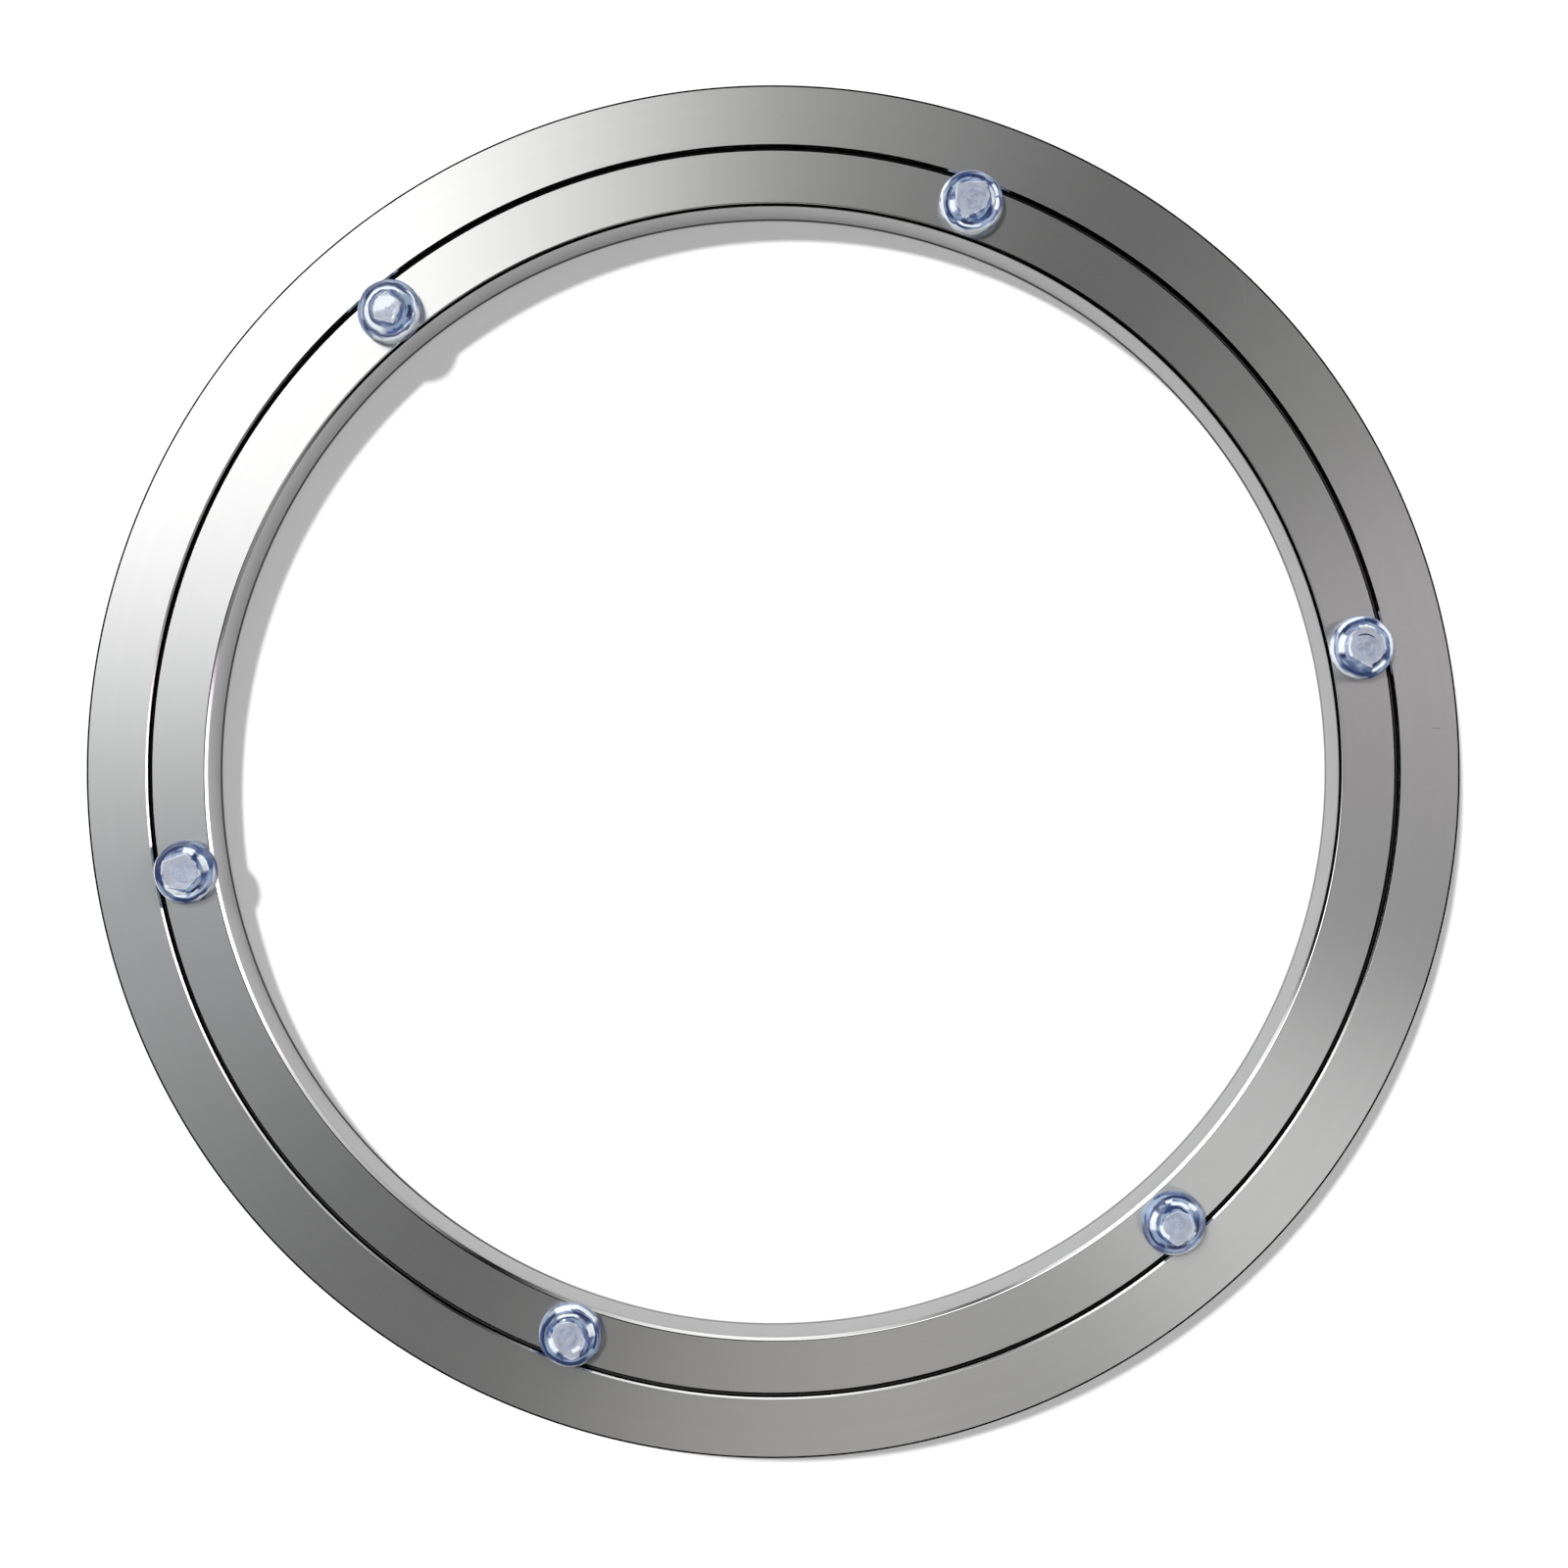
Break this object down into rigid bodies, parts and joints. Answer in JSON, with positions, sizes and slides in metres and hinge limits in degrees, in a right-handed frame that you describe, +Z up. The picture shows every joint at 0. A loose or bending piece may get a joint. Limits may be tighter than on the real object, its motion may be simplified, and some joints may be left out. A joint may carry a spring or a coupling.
{
  "type": "turntable bearing",
  "caption": "Flat aluminium turntable bearing: an inner ring with clear bumpers turns inside an outer ring on a hidden row of steel balls.",
  "frame": {"origin": "on the rings' axis, at the table plane under the foot pads", "axes": "+Z up along the rings' axis; +X lies under the first ball, and the ring is round"},
  "size_m": [0.3, 0.3, 0.0132],
  "materials": {
    "brushed_aluminium": "satin, turned round the axis",
    "ball_steel": "polished bearing steel",
    "retainer_plastic": "moulded black plastic",
    "clear_bumper": "clear soft plastic with a blue tint",
    "foot_rubber": "matt black rubber"
  },
  "bodies": {
    "outer_ring": {"outer_ring": "brushed_aluminium", "foot_pad_1": "foot_rubber", "foot_pad_2": "foot_rubber", "foot_pad_3": "foot_rubber", "foot_pad_4": "foot_rubber", "foot_pad_5": "foot_rubber", "foot_pad_6": "foot_rubber"},
    "inner_ring": {"inner_ring": "brushed_aluminium", "bumper_1": "clear_bumper", "bumper_2": "clear_bumper", "bumper_3": "clear_bumper", "bumper_4": "clear_bumper", "bumper_5": "clear_bumper", "bumper_6": "clear_bumper"},
    "ball_retainer": {"ball_retainer": "retainer_plastic"},
    "ball_01": {"ball_01": "ball_steel"},
    "ball_02": {"ball_02": "ball_steel"},
    "ball_03": {"ball_03": "ball_steel"},
    "ball_04": {"ball_04": "ball_steel"},
    "ball_05": {"ball_05": "ball_steel"},
    "ball_06": {"ball_06": "ball_steel"},
    "ball_07": {"ball_07": "ball_steel"},
    "ball_08": {"ball_08": "ball_steel"},
    "ball_09": {"ball_09": "ball_steel"},
    "ball_10": {"ball_10": "ball_steel"},
    "ball_11": {"ball_11": "ball_steel"},
    "ball_12": {"ball_12": "ball_steel"},
    "ball_13": {"ball_13": "ball_steel"},
    "ball_14": {"ball_14": "ball_steel"},
    "ball_15": {"ball_15": "ball_steel"},
    "ball_16": {"ball_16": "ball_steel"},
    "ball_17": {"ball_17": "ball_steel"},
    "ball_18": {"ball_18": "ball_steel"},
    "ball_19": {"ball_19": "ball_steel"},
    "ball_20": {"ball_20": "ball_steel"},
    "ball_21": {"ball_21": "ball_steel"},
    "ball_22": {"ball_22": "ball_steel"},
    "ball_23": {"ball_23": "ball_steel"},
    "ball_24": {"ball_24": "ball_steel"},
    "ball_25": {"ball_25": "ball_steel"},
    "ball_26": {"ball_26": "ball_steel"},
    "ball_27": {"ball_27": "ball_steel"},
    "ball_28": {"ball_28": "ball_steel"},
    "ball_29": {"ball_29": "ball_steel"},
    "ball_30": {"ball_30": "ball_steel"},
    "ball_31": {"ball_31": "ball_steel"},
    "ball_32": {"ball_32": "ball_steel"},
    "ball_33": {"ball_33": "ball_steel"},
    "ball_34": {"ball_34": "ball_steel"},
    "ball_35": {"ball_35": "ball_steel"},
    "ball_36": {"ball_36": "ball_steel"}
  },
  "joints": [
    {"name": "turntable_spin", "type": "hinge", "parent": "outer_ring", "child": "inner_ring", "pos_m": [0, 0, 0], "axis": [0, 0, 1], "continuous": true},
    {"name": "retainer_orbit", "type": "hinge", "parent": "outer_ring", "child": "ball_retainer", "pos_m": [0, 0, 0], "axis": [0, 0, 1], "continuous": true},
    {"name": "ball_01_roll", "type": "hinge", "parent": "ball_retainer", "child": "ball_01", "pos_m": [0.1361, 0, 0.00535], "axis": [0, 0, 1], "continuous": true},
    {"name": "ball_02_roll", "type": "hinge", "parent": "ball_retainer", "child": "ball_02", "pos_m": [0.13403, 0.02363, 0.00535], "axis": [0, 0, 1], "continuous": true},
    {"name": "ball_03_roll", "type": "hinge", "parent": "ball_retainer", "child": "ball_03", "pos_m": [0.12789, 0.04655, 0.00535], "axis": [0, 0, 1], "continuous": true},
    {"name": "ball_04_roll", "type": "hinge", "parent": "ball_retainer", "child": "ball_04", "pos_m": [0.11787, 0.06805, 0.00535], "axis": [0, 0, 1], "continuous": true},
    {"name": "ball_05_roll", "type": "hinge", "parent": "ball_retainer", "child": "ball_05", "pos_m": [0.10426, 0.08748, 0.00535], "axis": [0, 0, 1], "continuous": true},
    {"name": "ball_06_roll", "type": "hinge", "parent": "ball_retainer", "child": "ball_06", "pos_m": [0.08748, 0.10426, 0.00535], "axis": [0, 0, 1], "continuous": true},
    {"name": "ball_07_roll", "type": "hinge", "parent": "ball_retainer", "child": "ball_07", "pos_m": [0.06805, 0.11787, 0.00535], "axis": [0, 0, 1], "continuous": true},
    {"name": "ball_08_roll", "type": "hinge", "parent": "ball_retainer", "child": "ball_08", "pos_m": [0.04655, 0.12789, 0.00535], "axis": [0, 0, 1], "continuous": true},
    {"name": "ball_09_roll", "type": "hinge", "parent": "ball_retainer", "child": "ball_09", "pos_m": [0.02363, 0.13403, 0.00535], "axis": [0, 0, 1], "continuous": true},
    {"name": "ball_10_roll", "type": "hinge", "parent": "ball_retainer", "child": "ball_10", "pos_m": [0, 0.1361, 0.00535], "axis": [0, 0, 1], "continuous": true},
    {"name": "ball_11_roll", "type": "hinge", "parent": "ball_retainer", "child": "ball_11", "pos_m": [-0.02363, 0.13403, 0.00535], "axis": [0, 0, 1], "continuous": true},
    {"name": "ball_12_roll", "type": "hinge", "parent": "ball_retainer", "child": "ball_12", "pos_m": [-0.04655, 0.12789, 0.00535], "axis": [0, 0, 1], "continuous": true},
    {"name": "ball_13_roll", "type": "hinge", "parent": "ball_retainer", "child": "ball_13", "pos_m": [-0.06805, 0.11787, 0.00535], "axis": [0, 0, 1], "continuous": true},
    {"name": "ball_14_roll", "type": "hinge", "parent": "ball_retainer", "child": "ball_14", "pos_m": [-0.08748, 0.10426, 0.00535], "axis": [0, 0, 1], "continuous": true},
    {"name": "ball_15_roll", "type": "hinge", "parent": "ball_retainer", "child": "ball_15", "pos_m": [-0.10426, 0.08748, 0.00535], "axis": [0, 0, 1], "continuous": true},
    {"name": "ball_16_roll", "type": "hinge", "parent": "ball_retainer", "child": "ball_16", "pos_m": [-0.11787, 0.06805, 0.00535], "axis": [0, 0, 1], "continuous": true},
    {"name": "ball_17_roll", "type": "hinge", "parent": "ball_retainer", "child": "ball_17", "pos_m": [-0.12789, 0.04655, 0.00535], "axis": [0, 0, 1], "continuous": true},
    {"name": "ball_18_roll", "type": "hinge", "parent": "ball_retainer", "child": "ball_18", "pos_m": [-0.13403, 0.02363, 0.00535], "axis": [0, 0, 1], "continuous": true},
    {"name": "ball_19_roll", "type": "hinge", "parent": "ball_retainer", "child": "ball_19", "pos_m": [-0.1361, 0, 0.00535], "axis": [0, 0, 1], "continuous": true},
    {"name": "ball_20_roll", "type": "hinge", "parent": "ball_retainer", "child": "ball_20", "pos_m": [-0.13403, -0.02363, 0.00535], "axis": [0, 0, 1], "continuous": true},
    {"name": "ball_21_roll", "type": "hinge", "parent": "ball_retainer", "child": "ball_21", "pos_m": [-0.12789, -0.04655, 0.00535], "axis": [0, 0, 1], "continuous": true},
    {"name": "ball_22_roll", "type": "hinge", "parent": "ball_retainer", "child": "ball_22", "pos_m": [-0.11787, -0.06805, 0.00535], "axis": [0, 0, 1], "continuous": true},
    {"name": "ball_23_roll", "type": "hinge", "parent": "ball_retainer", "child": "ball_23", "pos_m": [-0.10426, -0.08748, 0.00535], "axis": [0, 0, 1], "continuous": true},
    {"name": "ball_24_roll", "type": "hinge", "parent": "ball_retainer", "child": "ball_24", "pos_m": [-0.08748, -0.10426, 0.00535], "axis": [0, 0, 1], "continuous": true},
    {"name": "ball_25_roll", "type": "hinge", "parent": "ball_retainer", "child": "ball_25", "pos_m": [-0.06805, -0.11787, 0.00535], "axis": [0, 0, 1], "continuous": true},
    {"name": "ball_26_roll", "type": "hinge", "parent": "ball_retainer", "child": "ball_26", "pos_m": [-0.04655, -0.12789, 0.00535], "axis": [0, 0, 1], "continuous": true},
    {"name": "ball_27_roll", "type": "hinge", "parent": "ball_retainer", "child": "ball_27", "pos_m": [-0.02363, -0.13403, 0.00535], "axis": [0, 0, 1], "continuous": true},
    {"name": "ball_28_roll", "type": "hinge", "parent": "ball_retainer", "child": "ball_28", "pos_m": [0, -0.1361, 0.00535], "axis": [0, 0, 1], "continuous": true},
    {"name": "ball_29_roll", "type": "hinge", "parent": "ball_retainer", "child": "ball_29", "pos_m": [0.02363, -0.13403, 0.00535], "axis": [0, 0, 1], "continuous": true},
    {"name": "ball_30_roll", "type": "hinge", "parent": "ball_retainer", "child": "ball_30", "pos_m": [0.04655, -0.12789, 0.00535], "axis": [0, 0, 1], "continuous": true},
    {"name": "ball_31_roll", "type": "hinge", "parent": "ball_retainer", "child": "ball_31", "pos_m": [0.06805, -0.11787, 0.00535], "axis": [0, 0, 1], "continuous": true},
    {"name": "ball_32_roll", "type": "hinge", "parent": "ball_retainer", "child": "ball_32", "pos_m": [0.08748, -0.10426, 0.00535], "axis": [0, 0, 1], "continuous": true},
    {"name": "ball_33_roll", "type": "hinge", "parent": "ball_retainer", "child": "ball_33", "pos_m": [0.10426, -0.08748, 0.00535], "axis": [0, 0, 1], "continuous": true},
    {"name": "ball_34_roll", "type": "hinge", "parent": "ball_retainer", "child": "ball_34", "pos_m": [0.11787, -0.06805, 0.00535], "axis": [0, 0, 1], "continuous": true},
    {"name": "ball_35_roll", "type": "hinge", "parent": "ball_retainer", "child": "ball_35", "pos_m": [0.12789, -0.04655, 0.00535], "axis": [0, 0, 1], "continuous": true},
    {"name": "ball_36_roll", "type": "hinge", "parent": "ball_retainer", "child": "ball_36", "pos_m": [0.13403, -0.02363, 0.00535], "axis": [0, 0, 1], "continuous": true}
  ],
  "couplings": [
    {"joint": "retainer_orbit", "follows": "turntable_spin", "ratio": 0.49265},
    {"joint": "ball_01_roll", "follows": "turntable_spin", "ratio": -34.018},
    {"joint": "ball_02_roll", "follows": "turntable_spin", "ratio": -34.018},
    {"joint": "ball_03_roll", "follows": "turntable_spin", "ratio": -34.018},
    {"joint": "ball_04_roll", "follows": "turntable_spin", "ratio": -34.018},
    {"joint": "ball_05_roll", "follows": "turntable_spin", "ratio": -34.018},
    {"joint": "ball_06_roll", "follows": "turntable_spin", "ratio": -34.018},
    {"joint": "ball_07_roll", "follows": "turntable_spin", "ratio": -34.018},
    {"joint": "ball_08_roll", "follows": "turntable_spin", "ratio": -34.018},
    {"joint": "ball_09_roll", "follows": "turntable_spin", "ratio": -34.018},
    {"joint": "ball_10_roll", "follows": "turntable_spin", "ratio": -34.018},
    {"joint": "ball_11_roll", "follows": "turntable_spin", "ratio": -34.018},
    {"joint": "ball_12_roll", "follows": "turntable_spin", "ratio": -34.018},
    {"joint": "ball_13_roll", "follows": "turntable_spin", "ratio": -34.018},
    {"joint": "ball_14_roll", "follows": "turntable_spin", "ratio": -34.018},
    {"joint": "ball_15_roll", "follows": "turntable_spin", "ratio": -34.018},
    {"joint": "ball_16_roll", "follows": "turntable_spin", "ratio": -34.018},
    {"joint": "ball_17_roll", "follows": "turntable_spin", "ratio": -34.018},
    {"joint": "ball_18_roll", "follows": "turntable_spin", "ratio": -34.018},
    {"joint": "ball_19_roll", "follows": "turntable_spin", "ratio": -34.018},
    {"joint": "ball_20_roll", "follows": "turntable_spin", "ratio": -34.018},
    {"joint": "ball_21_roll", "follows": "turntable_spin", "ratio": -34.018},
    {"joint": "ball_22_roll", "follows": "turntable_spin", "ratio": -34.018},
    {"joint": "ball_23_roll", "follows": "turntable_spin", "ratio": -34.018},
    {"joint": "ball_24_roll", "follows": "turntable_spin", "ratio": -34.018},
    {"joint": "ball_25_roll", "follows": "turntable_spin", "ratio": -34.018},
    {"joint": "ball_26_roll", "follows": "turntable_spin", "ratio": -34.018},
    {"joint": "ball_27_roll", "follows": "turntable_spin", "ratio": -34.018},
    {"joint": "ball_28_roll", "follows": "turntable_spin", "ratio": -34.018},
    {"joint": "ball_29_roll", "follows": "turntable_spin", "ratio": -34.018},
    {"joint": "ball_30_roll", "follows": "turntable_spin", "ratio": -34.018},
    {"joint": "ball_31_roll", "follows": "turntable_spin", "ratio": -34.018},
    {"joint": "ball_32_roll", "follows": "turntable_spin", "ratio": -34.018},
    {"joint": "ball_33_roll", "follows": "turntable_spin", "ratio": -34.018},
    {"joint": "ball_34_roll", "follows": "turntable_spin", "ratio": -34.018},
    {"joint": "ball_35_roll", "follows": "turntable_spin", "ratio": -34.018},
    {"joint": "ball_36_roll", "follows": "turntable_spin", "ratio": -34.018}
  ]
}
